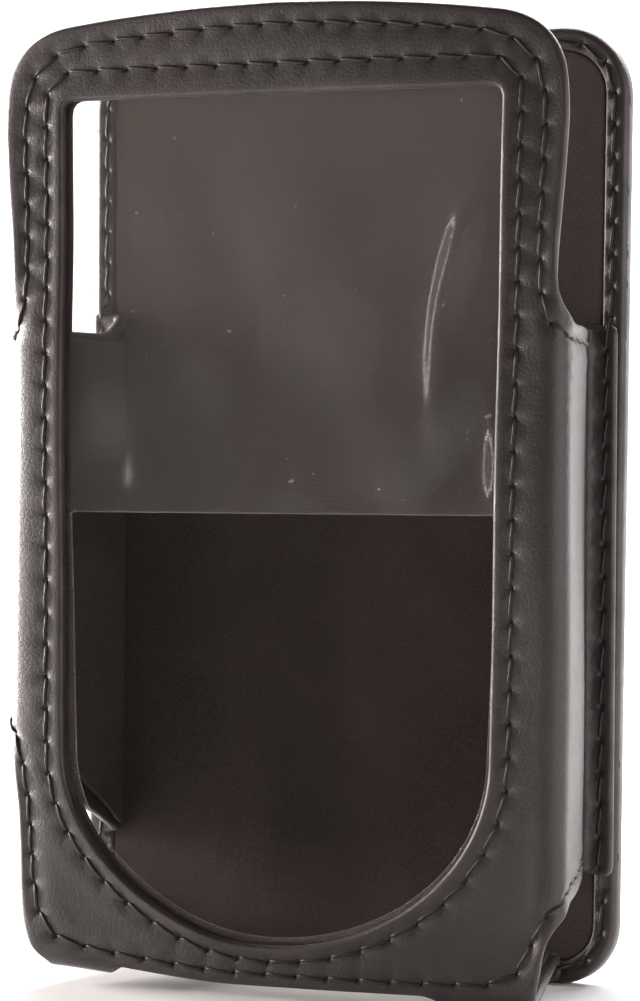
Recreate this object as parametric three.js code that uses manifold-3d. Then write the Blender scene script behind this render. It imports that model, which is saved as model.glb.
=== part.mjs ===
// Leather carrying case for a handheld: a top-loading pouch whose front is a frame with a clear
// film over the screen and an open cut-out over the keypad. One leather piece makes the front, the
// side walls, the flanges sewn to the back panel and the two straps under the bottom.
// Millimetres. +X is right seen from the front, +Z is up, and the back faces +Y.
// Inside the case group, y = 0 is the outer face of the front leather and y grows backwards.
import * as THREE from 'three';
import { mergeVertices } from 'three/addons/utils/BufferGeometryUtils.js';
import Module from 'manifold-3d';

const wasm = await Module();
wasm.setup();

// ---- Driving dimensions ----

const gap = 0.3;                  // room between pieces that are glued or sewn together
const degree = Math.PI / 180;

// Front panel, in x and z.
const headTop = 125.5;            // highest point, on the middle of the crowned top edge
const headShoulder = { x: 28.5, z: 123.8 };
const headWidest = { x: 38.2, z: 111 };
const headWaist = { x: 37.1, z: 90 };
const bodyEdge = 35;              // where the flat front ends and the side fold starts
const bodyEdgeTop = 80;
const frontBottom = 0.8;
const bottomCorner = 3.5;

// Window through the front.
const windowTop = { x: 29.4, z: 114, radius: 1.2 };
const windowBowl = { x: 28.5, z: 30.6, drop: 24 };   // half ellipse that closes the window below
const filmEdgeZ = 61;             // the film covers the window above this height
const filmRim = 0.9;              // film left showing round the keypad cut-out
const filmHem = 4.2;              // film caught under the leather

// Side walls and bottom straps, folded back from the front.
const foldRadius = 3;             // outer radius of the soft fold
const flangeBend = 0.8;           // radius of the turned-out flange, on the leather's middle
const wallTop = 85;
const wallBottom = { left: 31, right: 13 };
const leftWallBack = 17;           // the left wall's lower edge falls to this at the back panel
const wallSeamDepths = [8, 13, 18, 23];
const flangeClimb = 3.5;           // how far the back seam takes to climb on to a flange
const wallLean = 11.5 * degree;
const strapLean = 7.5 * degree;
const strapInner = 22.5;          // nearest the middle of the case
const strapOuter = { front: 34.8, back: 30.2 };
const flangeMargin = 0.2;         // the flange stops this far inside the back panel's edge

// Back panel, in x and z.
const panelTop = 124.8;
const panelHalf = { top: 37.8, bottom: 37 };
const panelCorner = { top: 9, bottom: 8 };
const rimWidth = 3;               // leather turned over on to the inside face

// Belt loop on the back.
const loopHalf = 17;
const loopEnds = { low: 28, high: 106 };
const loopBow = { low: 50, high: 84 };   // the stretch that stands clear of the back
const loopSewn = 12;
const loopRise = 6.5;

// How far the inner layers stop inside the front leather's edge.
const stiffenerInset = 3;
const liningInset = 1;

// Thicknesses.
const leather = 1.4;
const stiffener = 0.8;
const film = 0.3;
const lining = 0.8;
const panelLeather = 1;
const panelBoard = 0.9;
const panelLining = 0.6;
const rimLeather = 0.9;
const loopLeather = 1.6;
const loopLining = 0.5;

// Seams: a thread lies on the leather, so many millimetres in from the edge it follows.
const threadRadius = 0.3;
const threadStand = gap + threadRadius;
const flatStep = 4;               // between a thread's sections where it lies flat
const bentStep = 2;               // and where it bends over a fold or an edge
const seamInset = 2.8;
const windowSeam = { side: 3.5, below: 2.1 };
const panelSeamInset = 1.9;

// ---- Where each layer lies in depth ----

const stiffenerAt = leather + gap;
const filmAt = stiffenerAt + stiffener + gap;
const frontLiningAt = filmAt + film + gap;
const cavityFront = frontLiningAt + lining;
const flangeAt = 26;
const panelAt = flangeAt + leather + gap;
const boardAt = panelAt + rimLeather + gap;
const panelLeatherAt = boardAt + panelBoard + gap;
const panelBack = panelLeatherAt + panelLeather;
const loopAt = panelBack + gap;
const loopBack = panelBack + loopRise + loopLeather;

// ---- Materials ----

function finish(color, roughness, extra = {}) {
  return new THREE.MeshStandardMaterial({ color, roughness, metalness: 0, ...extra });
}

const nappa = finish(0x463d3a, 0.48);
const flock = finish(0x2b2321, 0.95);
const sheet = finish(0x5b5450, 0.12, { transparent: true, opacity: 0.35 });
const board = finish(0x85745c, 0.9);
const thread = finish(0x2c2624, 0.6);

// ---- Outlines: closed lists of points in (x, z) ----

// Makes the whole outline from its right half, which runs from the bottom middle to the top middle.
function bothSides(half) {
  const left = half.slice(1, -1).reverse().map((point) => new THREE.Vector2(-point.x, point.y));
  return [...half, ...left];
}

function frontOutline() {
  const half = new THREE.Path();
  half.moveTo(0, frontBottom);
  half.lineTo(bodyEdge - bottomCorner, frontBottom);
  half.absarc(bodyEdge - bottomCorner, frontBottom + bottomCorner, bottomCorner, -Math.PI / 2, 0);
  half.lineTo(bodyEdge, bodyEdgeTop);
  half.bezierCurveTo(bodyEdge, bodyEdgeTop + 5, headWaist.x, headWaist.z - 5, headWaist.x, headWaist.z);
  half.bezierCurveTo(headWaist.x, headWaist.z + 7, headWidest.x, headWidest.z - 8,
    headWidest.x, headWidest.z);
  half.bezierCurveTo(headWidest.x, headWidest.z + 8.5, headShoulder.x + 6, headShoulder.z - 0.9,
    headShoulder.x, headShoulder.z);
  half.quadraticCurveTo(headShoulder.x / 2, headTop, 0, headTop);
  return bothSides(half.getPoints(6));
}

// The window's outline, grown outwards by `grow` (and by `below` under the bowl).
function windowOutline(grow = 0, top = windowTop.z, below = grow) {
  const side = windowTop.x + grow;
  const corner = Math.max(windowTop.radius + grow, 0.3);
  const half = new THREE.Path();
  half.absellipse(0, windowBowl.z, windowBowl.x + grow, windowBowl.drop + below, -Math.PI / 2, 0);
  half.lineTo(side, top + grow - corner);
  half.quadraticCurveTo(side, top + grow, side - corner, top + grow);
  half.lineTo(0, top + grow);
  return bothSides(half.getPoints(8));
}

function panelOutline(inset) {
  const { top, bottom } = panelCorner;
  const half = new THREE.Path();
  half.moveTo(0, inset);
  half.lineTo(panelHalf.bottom - bottom, inset);
  half.absarc(panelHalf.bottom - bottom, bottom, bottom - inset, -Math.PI / 2, 0);
  half.absarc(panelHalf.top - top, panelTop - top, top - inset, 0, Math.PI / 2);
  half.lineTo(0, panelTop - inset);
  return bothSides(half.getPoints(4));
}

// Moves each point sideways by `distance`, to the left of the way the line runs.
function offsetLine(points, distance, closed) {
  const last = points.length - 1;
  return points.map((point, i) => {
    const before = closed ? points.at(i - 1) : points[Math.max(i - 1, 0)];
    const after = closed ? points[(i + 1) % points.length] : points[Math.min(i + 1, last)];
    const arriving = point.clone().sub(before).normalize();
    const leaving = after.clone().sub(point).normalize();
    const along = arriving.clone().add(leaving).normalize();
    const lengthen = along.dot(i === 0 && !closed ? leaving : arriving) || 1;
    const reach = distance / lengthen;
    return new THREE.Vector2(point.x - along.y * reach, point.y + along.x * reach);
  });
}

// Gives an open line a thickness: a closed outline, half on each side of it.
function thicken(points, thickness) {
  const one = offsetLine(points, thickness / 2, false);
  const other = offsetLine(points, -thickness / 2, false);
  return [...one, ...other.reverse()];
}

// ---- Solids ----

// A flat layer of the given outline that starts at `depth`.
function layer(outline, depth, thickness, hole = null) {
  const shape = new THREE.Shape(outline);
  if (hole) shape.holes.push(new THREE.Path(hole));
  const geometry = new THREE.ExtrudeGeometry(shape, { depth: thickness, bevelEnabled: false });
  return geometry.rotateX(Math.PI / 2).translate(0, depth + thickness, 0);
}

// A section drawn in (outwards, depth), run along z on one side of the case (1 right, -1 left).
function alongZ(section, side, low, high) {
  const shape = new THREE.Shape(section.map((point) => new THREE.Vector2(side * point.x, point.y)));
  const geometry = new THREE.ExtrudeGeometry(shape, { depth: high - low, bevelEnabled: false });
  return geometry.translate(0, 0, low);
}

// A section drawn in (downwards, depth), run along x.
function alongX(section, low, high) {
  const shape = new THREE.Shape(section);
  const geometry = new THREE.ExtrudeGeometry(shape, { depth: high - low, bevelEnabled: false });
  return geometry.rotateY(Math.PI / 2).translate(low, 0, 0);
}

function toSolid(geometry) {
  const bare = geometry.clone();
  bare.deleteAttribute('normal');
  bare.deleteAttribute('uv');
  const merged = mergeVertices(bare, 1e-4);
  return new wasm.Manifold(new wasm.Mesh({
    numProp: 3,
    vertProperties: new Float32Array(merged.attributes.position.array),
    triVerts: new Uint32Array(merged.index.array),
  }));
}

function toGeometry(solid) {
  const { vertProperties, triVerts } = solid.getMesh();
  const geometry = new THREE.BufferGeometry();
  geometry.setAttribute('position', new THREE.BufferAttribute(vertProperties, 3));
  geometry.setIndex(new THREE.BufferAttribute(triVerts, 1));
  geometry.computeVertexNormals();
  return geometry;
}

// The section shared by a side wall and a bottom strap: a fold whose outside reaches `outer`, a run
// back that leans inwards, and a flange turned out again to `flangeEnd`.
function foldedSection(outer, lean, flangeEnd) {
  const foldMiddle = foldRadius - leather / 2;
  const flangeMiddle = flangeAt + leather / 2;
  const run = flangeMiddle - flangeBend - foldRadius - (foldMiddle + flangeBend) * Math.sin(lean);
  const bendAt = outer - foldRadius + (foldMiddle + flangeBend) * Math.cos(lean) - run * Math.tan(lean);
  const middle = new THREE.Path();
  middle.moveTo(outer - foldRadius - 1, leather / 2);
  middle.lineTo(outer - foldRadius, leather / 2);
  middle.absarc(outer - foldRadius, foldRadius, foldMiddle, -Math.PI / 2, lean, false);
  middle.absarc(bendAt, flangeMiddle - flangeBend, flangeBend, Math.PI + lean, Math.PI / 2, true);
  middle.lineTo(flangeEnd, flangeMiddle);
  return thicken(middle.getPoints(4), leather);
}

// How far out the inner face of a wall or strap is at a given depth.
function innerFace(outer, lean, depth) {
  return outer - foldRadius + (foldRadius - leather) / Math.cos(lean)
    - (depth - foldRadius) * Math.tan(lean);
}

// The lining glued inside a wall or strap, in (outwards, depth).
function liningSection(outer, lean) {
  const from = cavityFront + gap;
  const to = panelAt - gap;
  const near = gap / Math.cos(lean);
  const far = (gap + lining) / Math.cos(lean);
  return [[from, near], [to, near], [to, far], [from, far]].map(
    ([depth, inset]) => new THREE.Vector2(innerFace(outer, lean, depth) - inset, depth));
}

// A block that cuts a strap, or its lining, to its tapering width.
function strapWedge(side, inset) {
  const corners = [
    [strapInner + inset, -1],
    [strapOuter.front - inset, -1],
    [strapOuter.front - inset, foldRadius],
    [strapOuter.back - inset, panelAt],
    [strapInner + inset, panelAt],
  ];
  return toSolid(alongZ(corners.map(([x, y]) => new THREE.Vector2(x, y)), side, -1, 20));
}

const sideHalf = bodyEdge + foldRadius;

// A block under the left wall's sloping lower edge, or under its lining's.
function underLeftWall(raise) {
  const corners = [
    [wallBottom.left, -1],
    [wallBottom.left, foldRadius],
    [leftWallBack, flangeAt],
    [leftWallBack, panelBack],
    [-5, panelBack],
    [-5, -1],
  ];
  const section = corners.map(([z, y]) => new THREE.Vector2(-z - raise, y));
  return toSolid(alongX(section, -60, 0));
}

function frontLeather() {
  const flangeEnd = panelHalf.top;
  let wrap = toSolid(layer(frontOutline(), 0, leather, windowOutline()));
  const wall = foldedSection(sideHalf, wallLean, flangeEnd);
  wrap = wrap.add(toSolid(alongZ(wall, 1, wallBottom.right, wallTop)));
  const leftWall = toSolid(alongZ(wall, -1, leftWallBack, wallTop));
  wrap = wrap.add(leftWall.subtract(underLeftWall(0)));
  const strap = foldedSection(0, strapLean, -frontBottom);
  for (const side of [1, -1]) {
    const full = toSolid(side > 0 ? alongX(strap, 0, 40) : alongX(strap, -40, 0));
    wrap = wrap.add(full.intersect(strapWedge(side, 0)));
  }
  const around = [[-50, -10], [50, -10], [50, 140], [-50, 140]].map(([x, z]) => new THREE.Vector2(x, z));
  const beyondPanel = layer(around, flangeAt - gap, leather + 2 * gap, panelOutline(flangeMargin));
  return toGeometry(wrap.subtract(toSolid(beyondPanel)));
}

function strapLining(side) {
  const section = liningSection(0, strapLean);
  const full = toSolid(side > 0 ? alongX(section, 0, 40) : alongX(section, -40, 0));
  return toGeometry(full.intersect(strapWedge(side, 1)));
}

// The back panel's leather is a tray: the outer sheet, the turned edge and the rim it ends in.
function backLeather() {
  const whole = toSolid(layer(panelOutline(0), panelAt, panelBack - panelAt));
  const pocket = toSolid(layer(panelOutline(panelLeather), panelAt + rimLeather,
    panelLeatherAt - panelAt - rimLeather));
  const mouth = toSolid(layer(panelOutline(rimWidth), panelAt - 1, rimLeather + 1.2));
  return toGeometry(whole.subtract(pocket.add(mouth)));
}

// The belt loop's middle line in (downwards, depth), between two heights.
function loopLine(rise, low, high) {
  const sewn = loopAt + loopLeather / 2;
  const ease = 5;
  const line = new THREE.Path();
  line.moveTo(-low, sewn);
  line.lineTo(-loopEnds.low - loopSewn, sewn);
  line.bezierCurveTo(-loopEnds.low - loopSewn - ease, sewn, -loopBow.low + ease, sewn + rise,
    -loopBow.low, sewn + rise);
  line.lineTo(-loopBow.high, sewn + rise);
  line.bezierCurveTo(-loopBow.high - ease, sewn + rise, -loopEnds.high + loopSewn + ease, sewn,
    -loopEnds.high + loopSewn, sewn);
  line.lineTo(-high, sewn);
  return line.getPoints(8);
}

function beltLoop() {
  return alongX(thicken(loopLine(loopRise - gap, loopEnds.low, loopEnds.high), loopLeather),
    -loopHalf, loopHalf);
}

// The skin under the bow only, so that both ends of the loop lie flat on the panel.
function beltLoopLining() {
  const under = panelBack + loopRise - gap;
  const skin = [[-loopBow.low - 2, under], [-loopBow.high + 2, under],
    [-loopBow.high + 2, under - loopLining], [-loopBow.low - 2, under - loopLining]];
  return alongX(skin.map(([a, y]) => new THREE.Vector2(a, y)), -loopHalf + 1, loopHalf - 1);
}

// ---- Seams ----

// A thread through the given points: one plain round line, in steps of about `step`.
function threadAlong(points, step) {
  const route = new THREE.CatmullRomCurve3(points, false, 'centripetal');
  const section = new THREE.Shape();
  const sides = 5;
  for (let i = 0; i < sides; i += 1) {
    const angle = (2 * Math.PI * i) / sides;
    const corner = [threadRadius * Math.cos(angle), threadRadius * Math.sin(angle)];
    if (i === 0) section.moveTo(...corner);
    else section.lineTo(...corner);
  }
  section.closePath();
  const steps = Math.ceil(route.getLength() / step);
  return new THREE.ExtrudeGeometry(section, { steps, extrudePath: route, bevelEnabled: false });
}

// Walks a closed outline in even steps and stops just short of its start, as a real thread does.
function walkAround(outline, step) {
  const corners = outline.map((point) => new THREE.Vector3(point.x, 0, point.y));
  const loop = new THREE.CurvePath();
  corners.forEach((corner, i) => {
    loop.add(new THREE.LineCurve3(corner, corners[(i + 1) % corners.length]));
  });
  const count = Math.round(loop.getLength() / step);
  return loop.getSpacedPoints(count).slice(0, -1);
}

// Points over the side fold, from the front at height `from` to `to`, then back along a wall.
function overWall(side, from, to, back = to) {
  const radius = foldRadius + threadStand;
  const turns = 4;
  const points = [];
  for (let i = 1; i <= turns; i += 1) {
    const part = i / turns;
    const angle = -Math.PI / 2 + part * (Math.PI / 2 + wallLean);
    const height = from + (to - from) * Math.sqrt(part);
    points.push(new THREE.Vector3(side * (bodyEdge + radius * Math.cos(angle)),
      foldRadius + radius * Math.sin(angle), height));
  }
  const outerFace = (depth) => innerFace(sideHalf, wallLean, depth)
    + (leather + threadStand) / Math.cos(wallLean);
  for (const depth of wallSeamDepths) {
    const part = (depth - foldRadius) / (flangeAt - foldRadius);
    points.push(new THREE.Vector3(side * outerFace(depth), depth, to + (back - to) * part));
  }
  return points;
}

const onFront = (point) => new THREE.Vector3(point.x, -threadStand, point.y);

function headThread() {
  const row = offsetLine(frontOutline(), seamInset, true).filter((point) => point.y > headWaist.z - 1);
  const rise = wallTop - 0.5;
  const fall = wallTop - 2;
  return threadAlong([...overWall(1, rise, fall).reverse(), ...row.map(onFront), ...overWall(-1, rise, fall)],
    bentStep);
}

function lowerThread() {
  const side = bodyEdge - 2;
  const foot = frontBottom + 2;
  const bottomRun = 14;                // where the two halves meet the straight bottom run
  const half = (sign, start, back) => {
    const front = new THREE.CatmullRomCurve3([
      new THREE.Vector3(sign * bodyEdge, -threadStand, start - 2),
      new THREE.Vector3(sign * (side + 0.8), -threadStand, start - 7),
      new THREE.Vector3(sign * side, -threadStand, foot + 5),
      new THREE.Vector3(sign * (side - 4), -threadStand, foot),
      new THREE.Vector3(sign * bottomRun, -threadStand, foot),
    ]);
    return [...overWall(sign, start, start + 2, back).reverse(), ...front.getSpacedPoints(14)];
  };
  const left = half(-1, wallBottom.left, leftWallBack + 2.5);
  const right = half(1, wallBottom.right + 2).reverse();
  return threadAlong([...left, ...right], bentStep);
}

function windowThread() {
  const outline = windowOutline(windowSeam.side, windowTop.z, windowSeam.below);
  return threadAlong(walkAround(outline, flatStep).map((point) => point.setY(-threadStand)), flatStep);
}

// The seam round the back panel runs over the wall and strap flanges where they lie on it.
function panelFrontThread() {
  const points = walkAround(panelOutline(panelSeamInset), bentStep).map((point) => {
    const across = Math.abs(point.x);
    const bottom = point.x > 0 ? wallBottom.right : leftWallBack;
    const onWall = point.z > bottom - flangeClimb && point.z < wallTop + flangeClimb;
    const onStrap = point.z < foldRadius + flangeClimb && across > strapInner - flangeClimb
      && across < strapOuter.back + flangeClimb;
    return point.setY((onWall || onStrap ? flangeAt : panelAt) - threadStand);
  });
  return threadAlong(points, bentStep);
}

function panelBackThread() {
  const points = walkAround(panelOutline(panelSeamInset), flatStep);
  return threadAlong(points.map((point) => point.setY(panelBack + threadStand)), flatStep);
}

// A rectangle of stitches through one sewn end of the belt loop.
function loopThread(low) {
  const margin = 2.5;
  const corners = [[-1, 0], [1, 0], [1, 1], [-1, 1]].map(([x, up]) => new THREE.Vector2(
    x * (loopHalf - margin), low + margin + up * (loopSewn - 2 * margin)));
  const points = walkAround(corners, bentStep);
  return threadAlong(points.map((point) => point.setY(loopAt + loopLeather + threadStand)), bentStep);
}

// ---- The case ----

const carryingCase = new THREE.Group();
const frontmost = -threadStand - threadRadius;
carryingCase.position.y = -(frontmost + loopBack) / 2;

function addPiece(name, geometry, material) {
  const mesh = new THREE.Mesh(geometry, material);
  mesh.name = name;
  carryingCase.add(mesh);
}

const outline = frontOutline();

addPiece('front_leather', frontLeather(), nappa);
addPiece('front_stiffener', layer(offsetLine(outline, stiffenerInset, true), stiffenerAt, stiffener,
  windowOutline(0.6)), board);
addPiece('window_film', layer(windowOutline(filmHem), filmAt, film,
  windowOutline(-filmRim, filmEdgeZ + filmRim)), sheet);
addPiece('front_lining', layer(offsetLine(outline, liningInset, true), frontLiningAt, lining,
  windowOutline(0.4)), flock);

const wallLining = liningSection(sideHalf, wallLean);
const leftWallLining = toSolid(alongZ(wallLining, -1, leftWallBack + 1, wallTop - 1));
addPiece('left_wall_lining', toGeometry(leftWallLining.subtract(underLeftWall(1))), flock);
addPiece('right_wall_lining', alongZ(wallLining, 1, wallBottom.right + 1, wallTop - 1), flock);
addPiece('left_strap_lining', strapLining(-1), flock);
addPiece('right_strap_lining', strapLining(1), flock);

addPiece('back_leather', backLeather(), nappa);
addPiece('back_board', layer(panelOutline(panelLeather + gap), boardAt, panelBoard), board);
addPiece('back_lining', layer(panelOutline(rimWidth + gap), boardAt - gap - panelLining,
  panelLining), flock);

addPiece('belt_loop', beltLoop(), nappa);
addPiece('belt_loop_lining', beltLoopLining(), flock);

addPiece('head_edge_thread', headThread(), thread);
addPiece('lower_edge_thread', lowerThread(), thread);
addPiece('window_thread', windowThread(), thread);
addPiece('panel_front_thread', panelFrontThread(), thread);
addPiece('panel_back_thread', panelBackThread(), thread);
addPiece('loop_upper_thread', loopThread(loopEnds.high - loopSewn), thread);
addPiece('loop_lower_thread', loopThread(loopEnds.low), thread);

export default carryingCase;
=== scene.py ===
"""A leather carrying case for a handheld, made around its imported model.

Pattern sizes are in millimetres, and the meshes are in metres. A pattern point is (across, up): it
is flat leather, and a placing function folds it into the case's shape at a height over its face.
"""

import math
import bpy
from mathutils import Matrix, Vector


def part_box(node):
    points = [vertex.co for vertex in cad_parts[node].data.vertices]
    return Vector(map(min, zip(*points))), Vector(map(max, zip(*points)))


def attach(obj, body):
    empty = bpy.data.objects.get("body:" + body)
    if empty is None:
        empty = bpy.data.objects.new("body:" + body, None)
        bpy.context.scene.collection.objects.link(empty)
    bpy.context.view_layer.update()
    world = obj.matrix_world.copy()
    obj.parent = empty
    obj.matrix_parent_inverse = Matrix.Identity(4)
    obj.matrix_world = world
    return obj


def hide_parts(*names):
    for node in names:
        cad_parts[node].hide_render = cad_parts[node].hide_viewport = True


bl_info = {
    "name": "Handheld Carrying Case",
    "version": (1, 0, 0),
    "blender": (4, 5, 0),
    "location": "3D View > Sidebar > Carrying Case",
    "description": "Makes a sewn leather carrying case with a film window",
    "category": "Add Mesh",
}

import bmesh
import bpy
import numpy as np
from mathutils import Vector, geometry, kdtree

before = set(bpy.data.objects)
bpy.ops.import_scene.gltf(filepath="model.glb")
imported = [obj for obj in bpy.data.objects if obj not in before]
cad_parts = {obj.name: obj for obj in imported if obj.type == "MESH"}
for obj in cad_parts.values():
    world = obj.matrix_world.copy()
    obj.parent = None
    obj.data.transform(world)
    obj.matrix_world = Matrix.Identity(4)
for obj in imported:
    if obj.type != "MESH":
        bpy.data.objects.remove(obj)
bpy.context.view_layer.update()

MM = 0.001


def box_mm(node):
    """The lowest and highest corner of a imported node, in millimetres."""
    low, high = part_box(node)
    return np.array(low) / MM, np.array(high) / MM


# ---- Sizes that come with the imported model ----

WRAP_LOW, WRAP_HIGH = box_mm("front_leather")
PANEL_LOW, PANEL_HIGH = box_mm("back_leather")
LOOP_LOW, LOOP_HIGH = box_mm("belt_loop")
LOOP_SKIN_LOW, LOOP_SKIN_HIGH = box_mm("belt_loop_lining")
FILM_LOW, FILM_HIGH = box_mm("window_film")
LINING_LOW, LINING_HIGH = box_mm("front_lining")
BACK_LINING_LOW, BACK_LINING_HIGH = box_mm("back_lining")

FRONT_Y = WRAP_LOW[1]
WRAP = 1.4                                    # the wrap's leather
FLANGE = WRAP_HIGH[1] - FRONT_Y - WRAP        # depth of the flanges' front face
RIM = PANEL_LOW[1] - FRONT_Y                  # depth of the back panel's front face

# ---- The front's pattern ----

FOLD_START = 35.0
FOLD_RADIUS = 3.0
FLANGE_BEND = 0.6
WALL_LEAN = math.radians(11.5)
STRAP_LEAN = math.radians(7.5)
TURN = math.pi / 2
WALL_TOP = 85.0
WALL_FOOT = {1: 12.9, -1: 32.2}               # right and left, at the fold
FLANGE_FOOT = {1: 14.8, -1: 16.5}             # and at the back panel
FLANGE_TOP = {1: WALL_TOP + 0.6, -1: WALL_TOP + 3.0}
HEAD_HALF = WRAP_HIGH[0]
HEAD_TOP = WRAP_HIGH[2]
STRAP_INNER = 22.5
STRAP_OUTER = {1: 34.8, -1: 31.6}
STRAP_BACK = 30.2
LIP = 1.2                                     # the front's lower edge between the straps
CORNER_LIFT = 2.3                             # how far the front's lower left corner stands up
BOARD = 0.8                                   # thickness of the front's stiffener
WALL_FLOCK, STRAP_FLOCK, LOOP_FLOCK = 0.75, 0.7, 0.55
LOOP_LEATHER = 1.5
PLY_GAP = 0.1                                 # between the leather and the layer under it
PANEL_TURNED_RIM = 3.0                        # leather turned over the back panel's front

WINDOW_HALF = 29.8
WINDOW_TOP = 114.0
BOWL_HALF, BOWL_HEIGHT, BOWL_DROP = 28.8, 30.6, 24.0
FILM_EDGE = 61.0

PANEL_HALF_TOP, PANEL_HALF_FOOT = 38.0, 37.2
PANEL_TOP = PANEL_HIGH[2]
PANEL_CORNER_TOP, PANEL_CORNER_FOOT = 9.0, 8.0
PANEL_THICK = PANEL_HIGH[1] - PANEL_LOW[1]
PANEL_SEAM = 1.9

# ---- Lines in a pattern ----


def curve(*knots, step=0.5):
    """A smooth line through the knots (centripetal Catmull-Rom), its last point left out."""
    knots = np.array(knots, float)
    padded = np.vstack([2 * knots[0] - knots[1], knots, 2 * knots[-1] - knots[-2]])
    parts = []
    for a, b, c, d in zip(padded, padded[1:], padded[2:], padded[3:]):
        times = np.cumsum([0] + [max(np.linalg.norm(q - p), 1e-6) ** 0.5
                                 for p, q in ((a, b), (b, c), (c, d))])
        count = max(2, int(np.linalg.norm(c - b) / step))
        at = np.linspace(times[1], times[2], count, endpoint=False)[:, None]
        ab = (times[1] - at) / times[1] * a + at / times[1] * b
        bc = ((times[2] - at) * b + (at - times[1]) * c) / (times[2] - times[1])
        cd = ((times[3] - at) * c + (at - times[2]) * d) / (times[3] - times[2])
        abc = ((times[2] - at) * ab + at * bc) / times[2]
        bcd = ((times[3] - at) * bc + (at - times[1]) * cd) / (times[3] - times[1])
        parts.append(((times[2] - at) * abc + (at - times[1]) * bcd) / (times[2] - times[1]))
    return np.vstack(parts)


def arc(centre, radii, start, end, count=14):
    """Points on an ellipse's arc, angles in degrees."""
    angle = np.radians(np.linspace(start, end, count))
    return np.column_stack([centre[0] + radii[0] * np.cos(angle), centre[1] + radii[1] * np.sin(angle)])


def mirrored(half):
    """A whole outline from its right half, drawn from the bottom middle to the top middle."""
    left = half[::-1] * (-1, 1)
    return np.vstack([half, left])


def resample(points, step, closed=True):
    """Evenly spaced points along a line."""
    line = looped(points) if closed else np.asarray(points, float)
    keep = np.r_[True, np.linalg.norm(np.diff(line, axis=0), axis=1) > 1e-6]
    line = line[keep]
    run = np.r_[0, np.cumsum(np.linalg.norm(np.diff(line, axis=0), axis=1))]
    count = max(3, round(run[-1] / step))
    at = np.linspace(0, run[-1], count + 1)
    even = np.column_stack([np.interp(at, run, line[:, 0]), np.interp(at, run, line[:, 1])])
    return even[:-1] if closed else even


def looped(row):
    """A closed row with its first point repeated at its end."""
    return np.vstack([row, row[:1]])


def inset(points, distance, closed=True):
    """The line moved to the left of the way it runs, which is inwards on a counter-clockwise outline."""
    if closed:
        along = np.roll(points, -1, 0) - np.roll(points, 1, 0)
    else:
        along = np.gradient(points, axis=0)
    along /= np.linalg.norm(along, axis=1)[:, None] + 1e-12
    return points + distance * np.column_stack([-along[:, 1], along[:, 0]])


def smoothstep(low, high, value):
    """0 up to low, 1 from high on, smooth between."""
    part = np.clip((value - low) / (high - low), 0, 1)
    return part * part * (3 - 2 * part)


def window_outline(grow=0.0, top=WINDOW_TOP, below=None):
    below = grow if below is None else below
    corner = max(1.2 + grow, 0.3)
    side = WINDOW_HALF + grow
    half = np.vstack([
        arc((0, BOWL_HEIGHT), (BOWL_HALF + grow, BOWL_DROP + below), -90, 0, 30),
        arc((side - corner, top + grow - corner), (corner, corner), 0, 90, 7),
        [(0, top + grow)],
    ])
    return mirrored(half)


def panel_half(up):
    """The back panel's half width at a height."""
    part = (up - PANEL_CORNER_FOOT) / (PANEL_TOP - PANEL_CORNER_TOP - PANEL_CORNER_FOOT)
    return PANEL_HALF_FOOT + (PANEL_HALF_TOP - PANEL_HALF_FOOT) * np.clip(part, 0, 1)


def panel_outline(margin=0.0):
    foot, top = PANEL_CORNER_FOOT, PANEL_CORNER_TOP
    half = np.vstack([
        [(0, margin)],
        arc((PANEL_HALF_FOOT - foot, foot), (foot - margin, foot - margin), -90, 0),
        arc((PANEL_HALF_TOP - top, PANEL_TOP - top), (top - margin, top - margin), 0, 90),
        [(0, PANEL_TOP - margin)],
    ])
    return mirrored(half)


# ---- Folding the wrap ----


def folded_run(run, lean, amount=1.0):
    """Where leather lies that leaves a flat face at run 0: how far out, how deep, and its turn.

    It goes round the fold, back along a wall that leans in, and out again into the flange."""
    full = TURN + lean
    bend_length = FOLD_RADIUS * full
    wall = (FLANGE - (FOLD_RADIUS + FLANGE_BEND) * (1 + math.sin(lean))) / math.cos(lean)
    amount = np.broadcast_to(np.maximum(amount, 1e-3), np.shape(run))
    turn = amount * np.clip(run, 0, bend_length) / FOLD_RADIUS
    out = np.minimum(run, 0) + FOLD_RADIUS / amount * np.sin(turn)
    depth = FOLD_RADIUS / amount * (1 - np.cos(turn))
    on_wall = np.clip(run - bend_length, 0, wall)
    out = out + on_wall * np.cos(turn)
    depth = depth + on_wall * np.sin(turn)
    back = np.clip(run - bend_length - wall, 0, FLANGE_BEND * full) / FLANGE_BEND
    last = turn - back
    out = out + FLANGE_BEND * (np.sin(turn) - np.sin(last))
    depth = depth + FLANGE_BEND * (np.cos(last) - np.cos(turn))
    out = out + np.maximum(run - bend_length - wall - FLANGE_BEND * full, 0)
    return out, depth, last


def flange_start(lean):
    """The run at which the flange lies flat, and how far out that is."""
    full = TURN + lean
    wall = (FLANGE - (FOLD_RADIUS + FLANGE_BEND) * (1 + math.sin(lean))) / math.cos(lean)
    run = (FOLD_RADIUS + FLANGE_BEND) * full + wall
    out, _depth, _turn = folded_run(np.array([run]), lean)
    return run, out[0]


WALL_RUN, WALL_OUT = flange_start(WALL_LEAN)
STRAP_RUN, STRAP_OUT = flange_start(STRAP_LEAN)
FLANGE_ACROSS = FOLD_START + WALL_RUN          # pattern place of the wall flange's inner side
FLANGE_X = FOLD_START + WALL_OUT               # and where that is on the case
STRAP_FOOT = FOLD_RADIUS - STRAP_RUN           # the same for the strap, in up
STRAP_Z = FOLD_RADIUS - STRAP_OUT


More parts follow.
